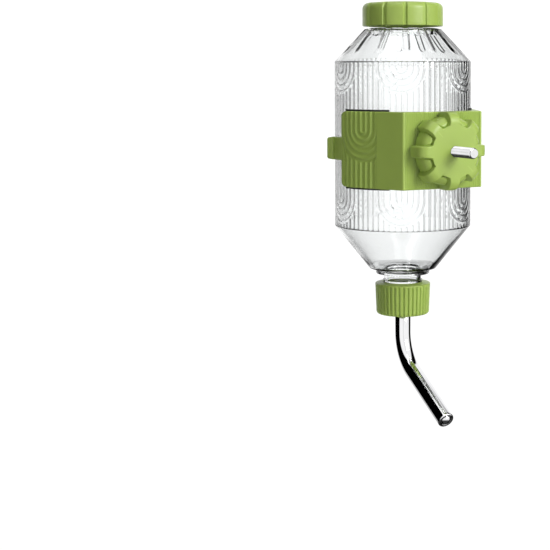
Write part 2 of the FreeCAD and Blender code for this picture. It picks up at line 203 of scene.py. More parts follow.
shell_outside = [
    (fill_neck_r, fill_mouth, 0.4),
    (fill_neck_r, shoulder_top, 0.25),
    (ledge_r, shoulder_top, 0.35),
    (body_r, band_top, band_round),
    (body_r, band_bottom, band_round),
    (foot_r, foot_z, foot_round),
    (outlet_neck_r, neck_root, 0.3),
    (outlet_neck_r, neck_root - ring_gap, 0),
    (support_ring_r, neck_root - ring_gap, 0.4),
    (support_ring_r, neck_root - support_ring_h, 0.4),
    (outlet_neck_r, neck_root - support_ring_h, 0.2),
    (outlet_neck_r, outlet_mouth, 0.4),
]
lean = math.atan2(body_r - ledge_r, shoulder_h)
foot_lean = math.atan2(body_r - foot_r, foot_cone_h)
shell_inside = [
    (outlet_neck_r - shell_wall, outlet_mouth, 0.3),
    (outlet_neck_r - shell_wall, neck_root + shell_wall, 0.8),
    (foot_r - shell_wall, foot_z + shell_wall, 1.2),
    (body_r - shell_wall, band_bottom + shell_wall * math.tan(foot_lean / 2), 2.0),
    (body_r - shell_wall, band_top - shell_wall * math.tan(lean / 2), 2.0),
    (ledge_r - 0.6, shoulder_top - shell_wall, 0.6),
    (fill_neck_r - shell_wall, shoulder_top - shell_wall, 0.8),
    (fill_neck_r - shell_wall, fill_mouth, 0.3),
]


def shell_run(point):
    """Length of the outline's steps: short where ribs, flutes or threads bend the wall."""
    if point.y > shoulder_top or point.y < neck_root - 5:
        return 0.65
    if point.y > band_top:
        return 1.3
    depth = band_top - point.y
    in_arcs = any(-1 < depth - first_tier_drop - tier * tier_pitch < arc_reach + 1
                  for tier in range(tier_count))
    return 0.75 if in_arcs and depth < band_h else 3.0


outer_rows = divided(rounded(shell_outside, 4), shell_run)
inner_rows = divided(rounded(shell_inside, 4), lambda point: 9.0)
slope_length = math.hypot(body_r - ledge_r, shoulder_h)
flute_end = slope_length * flute_run - flute_w / 2
shell = turned(outer_rows + inner_rows, 6 * rib_count, wedges=10)
row = shell.verts.layers.int["row"]
for vertex in shell.verts:
    if vertex[row] >= len(outer_rows):
        continue
    radius = vertex.co.xy.length
    angle = math.atan2(vertex.co.y, vertex.co.x)
    outward = Vector((vertex.co.x / radius, vertex.co.y / radius, 0))
    height = vertex.co.z
    if height > shoulder_top + 0.5:
        ridge = screw_ridge(angle, fill_mouth - height, 4.0, 1.9)
        run_in = smooth_step(height, shoulder_top + 0.5, shoulder_top + 2)
        vertex.co += outward * (thread_h * ridge * run_in)
    elif height > band_top + 0.5:
        along = (shoulder_top - height) * slope_length / shoulder_h
        sink = flute_sink(angle, radius, along)
        vertex.co -= (outward * math.cos(lean) + Vector((0, 0, math.sin(lean)))) * sink
    elif height > band_bottom + 0.1:
        fade = (smooth_step(band_top - height, 0.1, 0.7)
                * smooth_step(height, band_bottom + 0.1, band_bottom + 0.7))
        vertex.co -= outward * (rib_h * (1 - band_relief(angle, band_top - height)) * fade)
    elif height < neck_root - support_ring_h - 1.5:
        ridge = screw_ridge(angle, height - outlet_mouth, 3.5, 1.7)
        run_in = smooth_step(height, outlet_mouth + 1, outlet_mouth + 2)
        run_out = 1 - smooth_step(height, neck_root - 7, neck_root - 6)
        vertex.co += outward * (thread_h * ridge * run_in * run_out)
bottle = finished("bottle", shell, on_bottle_axis)


def add_node(tree, kind, inputs=None, **settings):
    """Shader node of a kind; each input takes a value or another node's socket."""
    made = tree.nodes.new("ShaderNode" + kind)
    for key, value in settings.items():
        setattr(made, key, value)
    for key, value in (inputs or {}).items():
        if isinstance(value, bpy.types.NodeSocket):
            tree.links.new(value, made.inputs[key])
        else:
            made.inputs[key].default_value = value
    return made


def maths(tree, operation, *values):
    """Result of a Math node; each value is a number or another node's socket."""
    return add_node(tree, "Math", dict(enumerate(values)), operation=operation).outputs["Value"]


def remapped(tree, value, low, high, to_low, to_high):
    """Value carried from one range to another."""
    return add_node(tree, "MapRange", {"Value": value, "From Min": low, "From Max": high,
                                       "To Min": to_low, "To Max": to_high}).outputs["Result"]


def new_finish(name):
    """Empty material and its Principled shader."""
    material = bpy.data.materials.new(name)
    material.use_nodes = True
    return material, material.node_tree.nodes["Principled BSDF"]


def rib_mask(tree, place):
    """Mask of the band's ribs at a place on the shell: 0 in the narrow grooves between them."""
    spot = add_node(tree, "SeparateXYZ", {"Vector": place}).outputs
    angle = maths(tree, "ARCTAN2", spot["Y"], maths(tree, "SUBTRACT", spot["X"], bottle_x))
    angle = maths(tree, "SUBTRACT", angle, math.radians(middle_column_deg))
    turn = maths(tree, "WRAP", angle, math.pi, -math.pi)
    column = maths(tree, "ROUND", maths(tree, "DIVIDE", turn, column_step))
    column = maths(tree, "MAXIMUM", maths(tree, "MINIMUM", column, outer_column), -outer_column)
    off = maths(tree, "ABSOLUTE", maths(tree, "MULTIPLY_ADD", column, -column_step, turn))
    reach = maths(tree, "MULTIPLY", off, body_r)

    depth = maths(tree, "MULTIPLY_ADD", spot["Z"], -1 / mm, band_top)
    past = maths(tree, "SUBTRACT", depth, first_tier_drop + arc_reach)
    tier = maths(tree, "CEIL", maths(tree, "DIVIDE", past, tier_pitch))
    tier = maths(tree, "MAXIMUM", maths(tree, "MINIMUM", tier, tier_count - 1), 0)
    below = maths(tree, "SUBTRACT", depth, first_tier_drop)
    below = maths(tree, "MULTIPLY_ADD", tier, -tier_pitch, below)
    below = maths(tree, "MAXIMUM", below, 0)
    ring = maths(tree, "SQRT", maths(tree, "MULTIPLY_ADD", below, below,
                                     maths(tree, "MULTIPLY", reach, reach)))
    in_arcs = maths(tree, "LESS_THAN", ring, arc_reach)
    ring = maths(tree, "MULTIPLY_ADD", in_arcs, maths(tree, "SUBTRACT", ring, reach), reach)

    off_groove = maths(tree, "PINGPONG", ring, rib_pitch / 2)
    rib = add_node(tree, "MapRange", {"Value": off_groove, "From Min": 0.0,
                                      "From Max": groove_half_w},
                   interpolation_type="SMOOTHSTEP").outputs["Result"]
    in_band = maths(tree, "MULTIPLY", maths(tree, "GREATER_THAN", depth, 0.3),
                    maths(tree, "LESS_THAN", depth, band_h - 0.3))
    return maths(tree, "MULTIPLY", in_band, maths(tree, "SUBTRACT", 1, rib))


def clear_blown_plastic():
    """Glass-clear plastic with crisp grooves between its ribs and a blown wall's slow waves."""
    material, shader = new_finish("clear_blown_plastic")
    tree = material.node_tree
    place = add_node(tree, "TexCoord").outputs["Object"]
    waves = add_node(tree, "TexNoise", {"Vector": place, "Scale": 45.0, "Detail": 1.0})
    wavy = add_node(tree, "Bump", {"Height": waves.outputs["Fac"], "Strength": 0.12,
                                   "Distance": 0.0006})
    bump = add_node(tree, "Bump", {"Height": rib_mask(tree, place), "Distance": groove_depth * mm,
                                   "Normal": wavy.outputs["Normal"]}, invert=True)
    haze = add_node(tree, "TexNoise", {"Vector": place, "Scale": 160.0, "Detail": 3.0})
    rough = remapped(tree, haze.outputs["Fac"], 0.35, 0.75, 0.0, 0.02)
    shader.inputs["Base Color"].default_value = (0.985, 0.995, 0.995, 1)
    shader.inputs["Transmission Weight"].default_value = 1.0
    shader.inputs["IOR"].default_value = 1.5
    tree.links.new(rough, shader.inputs["Roughness"])
    tree.links.new(bump.outputs["Normal"], shader.inputs["Normal"])
    return material


bottle.data.materials.append(clear_blown_plastic())
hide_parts("bottle_shell")
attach(bottle, "bottle")

# ==== Fill gasket =============================================================================
# Flat ring of soft silicone in the fill cap. It seals the mouth, and the spout only holds
# its water while this joint is airtight.

gasket_low, gasket_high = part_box("fill_gasket")
gasket_r = (gasket_high.x - gasket_low.x) / 2 / mm
gasket_w = 3.2
ring = turned(rounded([
    (gasket_r - gasket_w, gasket_low.z / mm, 0.3),
    (gasket_r, gasket_low.z / mm, 0.3),
    (gasket_r, gasket_high.z / mm, 0.3),
    (gasket_r - gasket_w, gasket_high.z / mm, 0.3),
], 3), 96)
fill_seal = finished("fill_gasket_ring", ring, on_bottle_axis)


def soft_silicone():
    """Milky silicone with a dull, slightly dusty surface."""
    material, shader = new_finish("soft_silicone")
    tree = material.node_tree
    place = add_node(tree, "TexCoord").outputs["Object"]
    dust = add_node(tree, "TexNoise", {"Vector": place, "Scale": 900.0, "Detail": 4.0})
    shade = add_node(tree, "ValToRGB", {"Fac": dust.outputs["Fac"]})
    shade.color_ramp.elements[0].color = (0.70, 0.70, 0.68, 1)
    shade.color_ramp.elements[1].color = (0.86, 0.86, 0.84, 1)
    rough = add_node(tree, "MapRange", {"Value": dust.outputs["Fac"], "To Min": 0.4,
                                        "To Max": 0.65})
    tree.links.new(shade.outputs["Color"], shader.inputs["Base Color"])
    tree.links.new(rough.outputs["Result"], shader.inputs["Roughness"])
    shader.inputs["Subsurface Weight"].default_value = 0.2
    shader.inputs["Subsurface Radius"].default_value = (0.002, 0.002, 0.002)
    return material


silicone = soft_silicone()
fill_seal.data.materials.append(silicone)
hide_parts("fill_gasket")
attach(fill_seal, "fill_seal")

# ==== Fill cap ================================================================================
# Wide screw cap, injection moulded in leaf-green plastic, with a shallow dome, a round
# shoulder and twelve narrow grip grooves. Its screw thread is moulded into the bore.

cap_low, cap_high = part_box("fill_cap")
fill_cap_r = (cap_high.x - cap_low.x) / 2 / mm
fill_cap_top = cap_high.z / mm
fill_cap_bottom = cap_low.z / mm
fill_cap_dome = 1.1
fill_cap_under = gasket_high.z / mm
fill_bore_r = gasket_r + 0.2
fill_groove_count = 12
fill_groove_w = 2.1
fill_groove_depth = 1.0
first_groove_deg = -25.9
dome_r = (fill_cap_r ** 2 + fill_cap_dome ** 2) / (2 * fill_cap_dome)


def dome_height(radius):
    """Height of the cap's dome above its rim."""
    return math.sqrt(dome_r ** 2 - radius ** 2) - dome_r + fill_cap_dome


cap_outline = rounded([
    (0, fill_cap_under, 0),
    (fill_bore_r, fill_cap_under, 0.6),
    (fill_bore_r, fill_cap_bottom, 0.5),
    (fill_cap_r, fill_cap_bottom, 0.5),
    (fill_cap_r, fill_cap_top - fill_cap_dome, 3.0),
    (0, fill_cap_top - fill_cap_dome, 0),
], 8)
cap_rows = divided(cap_outline, lambda point: 1.0)
cap = turned(cap_rows, 720, closed=False)
for vertex in cap.verts:
    radius = vertex.co.xy.length
    angle = math.atan2(vertex.co.y, vertex.co.x)
    outward = Vector((math.cos(angle), math.sin(angle), 0))
    if radius > fill_bore_r + 0.1 or vertex.co.z > fill_cap_under + 0.3:
        step = math.tau / fill_groove_count
        turn = (angle - math.radians(first_groove_deg) + step / 2) % step - step / 2
        across = abs(turn) * max(radius, 1)
        groove = 1 - smooth_step(across, fill_groove_w * 0.28, fill_groove_w * 0.62)
        rim = smooth_step(radius, fill_cap_r - 2.6, fill_cap_r - 0.6)
        rise = smooth_step(vertex.co.z, fill_cap_under, fill_cap_top - 3)
        vertex.co.z += dome_height(min(radius, fill_cap_r)) * rise
        vertex.co -= outward * (fill_groove_depth * groove * rim)
    elif vertex.co.z < fill_cap_under - 0.5:
        ridge = screw_ridge(angle, vertex.co.z - fill_cap_bottom, 4.0, 1.9)
        vertex.co += outward * (0.4 * ridge)
fill_cap = finished("fill_cap_moulding", cap, on_bottle_axis)


def surface_group(name, wanted):
    """Group with the wanted inputs, which gives a surface's colour, roughness and normal."""
    group = bpy.data.node_groups.new(name, "ShaderNodeTree")
    gives = {"Colour": "Color", "Roughness": "Float", "Normal": "Vector"}
    for way, kinds in (("INPUT", wanted), ("OUTPUT", gives)):
        for socket, kind in kinds.items():
            group.interface.new_socket(socket, in_out=way, socket_type="NodeSocket" + kind)
    return group, group.nodes.new("NodeGroupInput"), group.nodes.new("NodeGroupOutput")


def moulded_skin():
    """Group: colour, roughness and normal of injection-moulded plastic skin, with a painted
    highlight along its convex edges.
    """
    group, given, result = surface_group("moulded_skin", {
        "Colour": "Color", "Mottle And Highlight Colour": "Color", "Grain": "Float", "Gloss": "Float"})
    place = add_node(group, "TexCoord").outputs["Object"]
    flow = add_node(group, "TexNoise", {"Vector": place, "Scale": 38.0, "Detail": 2.0})
    flow_share = remapped(group, flow.outputs["Fac"], 0.3, 0.7, 0.0, 0.10)
    # Convex edges (Pointiness) are mixed toward the lighter green: a painted edge highlight. The
    # flow noise mixes toward the same green as the plastic's own mottled tone.
    edges = add_node(group, "NewGeometry").outputs["Pointiness"]
    edge_highlight_share = remapped(group, edges, 0.53, 0.62, 0.0, 0.35)
    share = maths(group, "ADD", flow_share, edge_highlight_share)
    colour = add_node(group, "Mix", {"Factor": share,
                                     "A": given.outputs["Colour"],
                                     "B": given.outputs["Mottle And Highlight Colour"]}, data_type="RGBA")
    grain = add_node(group, "TexNoise", {"Vector": place, "Scale": 2600.0, "Detail": 3.0})
    bump = add_node(group, "Bump", {"Height": grain.outputs["Fac"],
                                    "Strength": given.outputs["Grain"], "Distance": 0.00004})
    patch = add_node(group, "TexNoise", {"Vector": place, "Scale": 210.0, "Detail": 4.0})
    patch_share = remapped(group, patch.outputs["Fac"], 0.3, 0.7, -0.04, 0.04)
    rough = maths(group, "ADD", patch_share, given.outputs["Gloss"])
    group.links.new(colour.outputs["Result"], result.inputs["Colour"])
    group.links.new(rough, result.inputs["Roughness"])
    group.links.new(bump.outputs["Normal"], result.inputs["Normal"])
    return group


skin_group = moulded_skin()


def leaf_green(name, colour, mottle_and_highlight, grain, gloss):
    """Satin green plastic, a little lighter along its edges: a painted highlight."""
    material, shader = new_finish(name)
    tree = material.node_tree
    skin = add_node(tree, "Group", node_tree=skin_group)
    skin.inputs["Colour"].default_value = (*colour, 1)
    skin.inputs["Mottle And Highlight Colour"].default_value = (*mottle_and_highlight, 1)
    skin.inputs["Grain"].default_value = grain
    skin.inputs["Gloss"].default_value = gloss
    tree.links.new(skin.outputs["Colour"], shader.inputs["Base Color"])
    tree.links.new(skin.outputs["Roughness"], shader.inputs["Roughness"])
    tree.links.new(skin.outputs["Normal"], shader.inputs["Normal"])
    shader.inputs["IOR"].default_value = 1.46
    shader.inputs["Subsurface Weight"].default_value = 0.08
    shader.inputs["Subsurface Radius"].default_value = (0.002, 0.003, 0.001)
    return material


green = (0.335, 0.460, 0.090)
# Lighter green: the plastic's mottled tone and the painted edge highlight both mix toward it.
green_mottle_and_highlight = (0.48, 0.62, 0.17)
cap_green = leaf_green("cap_green", green, green_mottle_and_highlight, 0.25, 0.34)
fill_cap.data.materials.append(cap_green)
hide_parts("fill_cap")
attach(fill_cap, "lid")

# ==== Spout tube ==============================================================================
# Bright stainless tube, bent once, with its tip rolled in to hold the ball. A small dimple
# punched from one side keeps the ball at the tip.

tube_r = 4.55
tube_bore_r = 3.75
collar_low, collar_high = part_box("spout_collar")
nozzle_low, nozzle_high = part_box("nozzle_cap")
tube_top = collar_high.z / mm
bend_top = nozzle_low.z / mm - 10.5
bend_r = 23.55
bend_deg = 60.7
tube_end_run = 41.0
lip_h = 1.1
lip_hole_r = 2.95
ball_low, ball_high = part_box("outlet_ball")
ball_centre = (ball_low + ball_high) / 2 / mm - Vector((bottle_x / mm, 0, 0))
spout_way = Vector((math.sin(math.radians(bend_deg)), 0, -math.cos(math.radians(bend_deg))))
ball_play = 2.5


def follow_spout(form, ring_edges, down):
    """Carries a ring of edges along the spout, from its top to its lip or back."""
    straight = tube_end_run - lip_h
    runs = [("move", Vector((0, 0, bend_top - tube_top)), 1), ("bend", bend_deg, 28),
            ("move", spout_way * straight, 40)]
    for kind, amount, steps in (runs if down else runs[::-1]):
        if kind == "move":
            for step in range(steps):
                made = bmesh.ops.extrude_edge_only(form, edges=ring_edges)["geom"]
                ring_edges = [part for part in made if isinstance(part, bmesh.types.BMEdge)]
                corners = [part for part in made if isinstance(part, bmesh.types.BMVert)]
                bmesh.ops.translate(form, verts=corners, vec=amount * ((1 if down else -1) / steps))
        else:
            made = bmesh.ops.spin(form, geom=ring_edges, cent=(bend_r, 0, bend_top),
                                  axis=(0, -1 if down else 1, 0), angle=math.radians(amount),
                                  steps=steps, use_merge=False)["geom_last"]
            ring_edges = [part for part in made if isinstance(part, bmesh.types.BMEdge)]
    return ring_edges


def lip_ring(form, ring_edges, radius, onward):
    """Steps a ring of edges at the tip to a new radius and a distance along the spout."""
    made = bmesh.ops.extrude_edge_only(form, edges=ring_edges)["geom"]
    corners = [part for part in made if isinstance(part, bmesh.types.BMVert)]
    middle = sum((corner.co for corner in corners), Vector()) / len(corners)
    now = (corners[0].co - middle).length
    for corner in corners:
        corner.co = middle + (corner.co - middle) * (radius / now) + spout_way * onward
    return [part for part in made if isinstance(part, bmesh.types.BMEdge)]


tube = bmesh.new()
mouth_bevel = 0.25
mouth_r = tube_r - mouth_bevel
bmesh.ops.create_circle(tube, segments=64, radius=mouth_r,
                        matrix=Matrix.Translation((0, 0, tube_top)))
first_ring = list(tube.edges)
made = bmesh.ops.extrude_edge_only(tube, edges=first_ring)["geom"]
ring_edges = [part for part in made if isinstance(part, bmesh.types.BMEdge)]
for corner in [part for part in made if isinstance(part, bmesh.types.BMVert)]:
    corner.co = Vector((corner.co.x * tube_r / mouth_r, corner.co.y * tube_r / mouth_r,
                        tube_top - mouth_bevel))
ring_edges = follow_spout(tube, ring_edges, True)
lip_round = tube_r - tube_bore_r
for k in range(1, 9):
    turn = math.radians(90) * k / 8
    ring_edges = lip_ring(tube, ring_edges, tube_r - lip_round * (1 - math.cos(turn)),
                          lip_round * (math.sin(turn) - math.sin(math.radians(90) * (k - 1) / 8)))
ring_edges = lip_ring(tube, ring_edges, lip_hole_r + 0.15, 0)
ring_edges = lip_ring(tube, ring_edges, lip_hole_r, -0.12)
ring_edges = lip_ring(tube, ring_edges, lip_hole_r, -0.25)
ring_edges = lip_ring(tube, ring_edges, tube_bore_r, -(lip_round - 0.37))
ring_edges = follow_spout(tube, ring_edges, False)
bmesh.ops.bridge_loops(tube, edges=ring_edges + first_ring)
bmesh.ops.remove_doubles(tube, verts=tube.verts, dist=1e-4)
bmesh.ops.recalc_face_normals(tube, faces=tube.faces)
dimple_at = ball_centre - spout_way * (ball_play + 3.9) + Vector((0, tube_r, 0))
for vertex in tube.verts:
    near = 1 - smooth_step((vertex.co - dimple_at).length, 0.2, 2.0)
    vertex.co.y -= 0.75 * near
spout_tube = finished("spout_tube_steel", tube, on_bottle_axis, 50)


def polished_wear():
    """Group: colour, roughness and normal of polished steel with fine drawing lines."""
    group, given, result = surface_group("polished_wear", {
        "Tone": "Color", "Stretch": "Vector", "Low Roughness": "Float",
        "High Roughness": "Float", "Lines": "Float"})
    place = add_node(group, "TexCoord").outputs["Object"]
    drawn = add_node(group, "VectorMath", {0: place, 1: given.outputs["Stretch"]},
                     operation="MULTIPLY")
    lines = add_node(group, "TexNoise", {"Vector": drawn.outputs["Vector"], "Scale": 1.0,
                                         "Detail": 4.0})
    smears = add_node(group, "TexNoise", {"Vector": place, "Scale": 120.0, "Detail": 3.0})
    darker = remapped(group, smears.outputs["Fac"], 0.35, 0.75, 1.0, 0.93)
    colour = add_node(group, "VectorMath", {0: given.outputs["Tone"], "Scale": darker},
                      operation="SCALE")
    rough = remapped(group, smears.outputs["Fac"], 0.3, 0.7,
                     given.outputs["Low Roughness"], given.outputs["High Roughness"])
    bump = add_node(group, "Bump", {"Height": lines.outputs["Fac"],
                                    "Strength": given.outputs["Lines"], "Distance": 0.00002})
    group.links.new(colour.outputs["Vector"], result.inputs["Colour"])
    group.links.new(rough, result.inputs["Roughness"])
    group.links.new(bump.outputs["Normal"], result.inputs["Normal"])
    return group


polished_group = polished_wear()


def metal_finish(name, tone, stretch, low, high, lines):
    """Metal with its own tone, drawing direction and polish."""
    material, shader = new_finish(name)
    tree = material.node_tree
    wear = add_node(tree, "Group", node_tree=polished_group)
    wear.inputs["Tone"].default_value = (*tone, 1)
    wear.inputs["Stretch"].default_value = stretch
    wear.inputs["Low Roughness"].default_value = low
    wear.inputs["High Roughness"].default_value = high
    wear.inputs["Lines"].default_value = lines
    tree.links.new(wear.outputs["Colour"], shader.inputs["Base Color"])
    tree.links.new(wear.outputs["Roughness"], shader.inputs["Roughness"])
    tree.links.new(wear.outputs["Normal"], shader.inputs["Normal"])
    shader.inputs["Metallic"].default_value = 1.0
    return material


bright_tube = metal_finish("bright_tube", (0.83, 0.83, 0.84), (900, 2200, 900), 0.03, 0.09, 0.05)
spout_tube.data.materials.append(bright_tube)
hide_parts("spout_tube")
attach(spout_tube, "spout")

# ==== Spout collar ============================================================================
# Stainless disc pressed on the top of the tube. The screw cap's floor pulls it up against
# the gasket, and the spout can still be turned under it.

collar_r = (collar_high.x - collar_low.x) / 2 / mm
disc = turned(rounded([
    (tube_r, collar_low.z / mm, 0),
    (collar_r, collar_low.z / mm, 0.35),
    (collar_r, collar_high.z / mm, 0.35),
    (tube_r, collar_high.z / mm, 0),
], 4), 96)
collar = finished("spout_collar_disc", disc, on_bottle_axis, 50)
pressed_steel = metal_finish("pressed_steel", (0.60, 0.60, 0.61), (700, 700, 2500), 0.22, 0.36, 0.2)
collar.data.materials.append(pressed_steel)
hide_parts("spout_collar")
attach(collar, "spout")

# ==== Outlet ball =============================================================================
# Polished steel ball that rests on the rolled lip and shuts the spout, until an animal's
# tongue pushes it in.

ball_r = (ball_high.x - ball_low.x) / 2 / mm
sphere = bmesh.new()
bmesh.ops.create_uvsphere(sphere, u_segments=48, v_segments=32, radius=ball_r,
                          matrix=Matrix.Translation(ball_centre))
ball = finished("outlet_ball_steel", sphere, on_bottle_axis, 60)
bright_ball = metal_finish("bright_ball", (0.85, 0.85, 0.86), (1500, 1500, 1500), 0.02, 0.05, 0.03)
ball.data.materials.append(bright_ball)
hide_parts("outlet_ball")
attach(ball, "ball")

# ==== Spout gasket ============================================================================
# Thick silicone ring between the outlet neck and the collar. The nozzle cap squeezes it,
# which makes the lower joint watertight.

seal_low, seal_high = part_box("spout_gasket")
seal_r = (seal_high.x - seal_low.x) / 2 / mm
seal_hole_r = 5.0
washer_ring = turned(rounded([
    (seal_hole_r, seal_low.z / mm, 0.4),
    (seal_r, seal_low.z / mm, 0.4),
    (seal_r, seal_high.z / mm, 0.4),
    (seal_hole_r, seal_high.z / mm, 0.4),
], 3), 96)
spout_seal = finished("spout_gasket_ring", washer_ring, on_bottle_axis)
spout_seal.data.materials.append(silicone)
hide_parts("spout_gasket")
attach(spout_seal, "spout_seal")

# ==== Nozzle cap ==============================================================================
# Small screw cap moulded in the same green plastic, with thirty-eight upright ribs under a
# plain rim. Its floor has a hole for the tube and holds up the collar.

nozzle_r = (nozzle_high.x - nozzle_low.x) / 2 / mm
nozzle_top = nozzle_high.z / mm
nozzle_bottom = nozzle_low.z / mm
nozzle_taper = 0.7
nozzle_floor = 2.5
nozzle_bore_r = seal_r + 0.2
nozzle_rib_count = 38
nozzle_gap_depth = 0.75
nozzle_gap_w = 1.15
first_gap_deg = -27.9
plain_rim_h = 2.0
rim_drop = 1.0
nozzle_outline = divided(rounded([
    (tube_r + 0.3, nozzle_bottom, 0.3),
    (nozzle_r - nozzle_taper, nozzle_bottom, 1.6),
    (nozzle_r, nozzle_top - rim_drop, 0.5),
    (nozzle_bore_r, nozzle_top, 0.5),
    (nozzle_bore_r, nozzle_bottom + nozzle_floor, 0.4),
    (tube_r + 0.3, nozzle_bottom + nozzle_floor, 0.3),
]), lambda point: 0.8)
nozzle = turned(nozzle_outline, 16 * nozzle_rib_count)
for vertex in nozzle.verts:
    radius = vertex.co.xy.length
    angle = math.atan2(vertex.co.y, vertex.co.x)
    outward = Vector((math.cos(angle), math.sin(angle), 0))
    if radius > nozzle_bore_r + 1.0:
        step = math.tau / nozzle_rib_count
        turn = (angle - math.radians(first_gap_deg) + step / 2) % step - step / 2
        gap = 1 - smooth_step(abs(turn) * radius, nozzle_gap_w * 0.25, nozzle_gap_w * 0.72)
        below_rim = 1 - smooth_step(vertex.co.z, nozzle_top - plain_rim_h - 0.3,
                                    nozzle_top - plain_rim_h + 0.1)
        rim = smooth_step(radius, nozzle_r - nozzle_taper - 1.6, nozzle_r - nozzle_taper - 0.4)
        vertex.co -= outward * (nozzle_gap_depth * gap * below_rim * rim)
    elif radius > nozzle_bore_r - 0.2 and vertex.co.z > nozzle_bottom + nozzle_floor + 0.8:
        ridge = screw_ridge(angle, nozzle_top - vertex.co.z, 3.5, 1.7)
        vertex.co += outward * (0.4 * ridge)
nozzle_cap = finished("nozzle_cap_moulding", nozzle, on_bottle_axis)
nozzle_cap.data.materials.append(cap_green)
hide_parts("nozzle_cap")
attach(nozzle_cap, "nozzle")

# ==== Bracket clip ============================================================================
# Spring clip moulded in one piece in the same green plastic: a grooved clamping block, two
# arms that snap round the bottle, with nested U ribs outside, and two finger tabs.

clip_low, clip_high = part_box("bracket_clip")
clip_half = clip_high.z / mm
block_half_w = 24.65
clip_wall = 2.7
clip_bore_r = body_r + 0.3
clip_r = clip_bore_r + clip_wall
arm_end_deg = 84.5
arm_corner_round = 4.0
grip_pitch = 1.24
grip_depth = 0.35
grip_count = 37
side_rib_pitch = 3.3
side_rib_h = 0.5
side_rib_start = 17.2
side_u_at = 26.4
side_u_z = 10.6
tab_half_h = 6.3
tab_t = 2.2
tab_len = 4.9
tab_wrap_deg = 96.0
tab_flare_deg = 52.0
core_wall = 2.5
core_half_gap = 13.0
stud_r = 3.0

clip_axis = Vector((bottle_x / mm, 0))
tangent_deg = math.degrees(math.atan2(block_half_w, clip_axis.length)
                           + math.acos(clip_r / math.hypot(clip_axis.length, block_half_w)))


def about_clip(radius, angle_deg):
    """Point of the clip's plan at a radius and an angle about the bottle."""
    angle = math.radians(angle_deg)
    return clip_axis + Vector((math.cos(angle), math.sin(angle))) * radius


def run_of_points(start, end, run):
    """Points from start up to, but without, end at about the given spacing."""
    count = max(1, round((end - start).length / run))
    return [start.lerp(end, k / count) for k in range(count)]


def half_plan():
    """Half of the clip's plan, from the middle of its face round to the middle of its bore."""
    points = [Vector((-grip_depth if k % 2 else 0, k * grip_pitch / 2))
              for k in range(grip_count + 1)]
    corner = Vector((-1.0, block_half_w - 1.0))
    tangent = about_clip(clip_r, tangent_deg)
    side_turn = math.atan2(block_half_w, clip_axis.length) + math.acos(
        clip_r / math.hypot(clip_axis.length, block_half_w))
    points += run_of_points(Vector((0, points[-1].y + 0.05)), corner + Vector((1, 0)), 0.4)
    points += [corner + Vector((math.cos(side_turn * k / 8), math.sin(side_turn * k / 8)))
               for k in range(9)]
    points += run_of_points(points.pop(), tangent, 0.35)
    end_deg = arm_end_deg - math.degrees(0.9 / clip_r)
    arc_count = round(math.radians(end_deg - tangent_deg) * clip_r / 0.35)
    points += [about_clip(clip_r, tangent_deg + (end_deg - tangent_deg) * k / arc_count)
               for k in range(arc_count)]
    nose = about_clip(clip_r - 0.9, end_deg)
    nose_turn = math.radians(end_deg)
    points += [nose + Vector((math.cos(nose_turn + math.radians(15 * k)),
                              math.sin(nose_turn + math.radians(15 * k)))) * 0.9
               for k in range(7)]
    points += run_of_points(points.pop(), about_clip(clip_bore_r, arm_end_deg), 0.45)
    points += [about_clip(clip_bore_r, arm_end_deg * (1 - k / 60)) for k in range(60)]
    return points


def side_relief(along, height):
    """Depth of the pattern on the clip's side at a distance along it and a height."""
    reach = abs(along - side_u_at)
    below = side_u_z - height
    if below > 0 and math.hypot(reach, below) < 5.25 * side_rib_pitch:
        reach = math.hypot(reach, below)
    ends = (smooth_step(along, side_rib_start, side_rib_start + 0.7)
            * (1 - smooth_step(along, arm_reach - 1.6, arm_reach - 1.0)))
    ridge = 0.5 * (1 - math.cos(math.tau * reach / side_rib_pitch))
    return side_rib_h * (1 - ridge ** 2) * ends


one_half = half_plan()
one_half.append(about_clip(clip_bore_r, 0))
plan = one_half + [Vector((point.x, -point.y)) for point in one_half[-2:0:-1]]
arm_reach = ((clip_axis.length ** 2 + block_half_w ** 2 - clip_r ** 2) ** 0.5
             + math.radians(arm_end_deg - tangent_deg) * clip_r)
plan_out = []
for i, point in enumerate(plan):
    back = (point - plan[i - 1]).normalized()
    ahead = (plan[(i + 1) % len(plan)] - point).normalized()
    way = back + ahead
    plan_out.append(Vector((way.y, -way.x)).normalized())
clip_rows = [(-clip_half + 0.5 * (1 - math.cos(math.radians(18 * k))),
              0.5 * (1 - math.sin(math.radians(18 * k)))) for k in range(5)]
clip_rows += [(-clip_half + 0.5 + (2 * clip_half - 1) * k / 100, 0) for k in range(101)]
clip_rows += [(-height, inset) for height, inset in clip_rows[4::-1]]
clip = bmesh.new()
rings = []
for height, inset in clip_rows:
    ring = []
    for i, point in enumerate(plan):
        turn = math.degrees(math.atan2(abs(point.y), point.x - clip_axis.x))
        radius = (point - clip_axis).length
        here = point - plan_out[i] * inset
        room = 0
        if turn > tangent_deg - 20:
            to_end = max(math.radians(arm_end_deg - turn) * clip_r, 0)
            if to_end < arm_corner_round:
                room = arm_corner_round - math.sqrt(
                    arm_corner_round ** 2 - (arm_corner_round - to_end) ** 2)
        level = height * (clip_half - room) / clip_half
        if radius > clip_r - 0.05 and point.x < -1.1:
            if turn > tangent_deg:
                along = arm_reach - math.radians(arm_end_deg - turn) * clip_r
            else:
                along = (Vector((0, block_half_w)) - Vector((point.x, abs(point.y)))).length
            here = here - plan_out[i] * side_relief(along, level)
        ring.append(clip.verts.new((here.x, here.y, level)))
    rings.append(ring)
for low, high in zip(rings, rings[1:]):
    for i in range(len(plan)):
        clip.faces.new((low[i - 1], low[i], high[i], high[i - 1]))
clip.faces.new(rings[0][::-1])
clip.faces.new(rings[-1])
bmesh.ops.recalc_face_normals(clip, faces=clip.faces)
bracket = finished("bracket_clip_moulding", clip, Matrix(), 35)


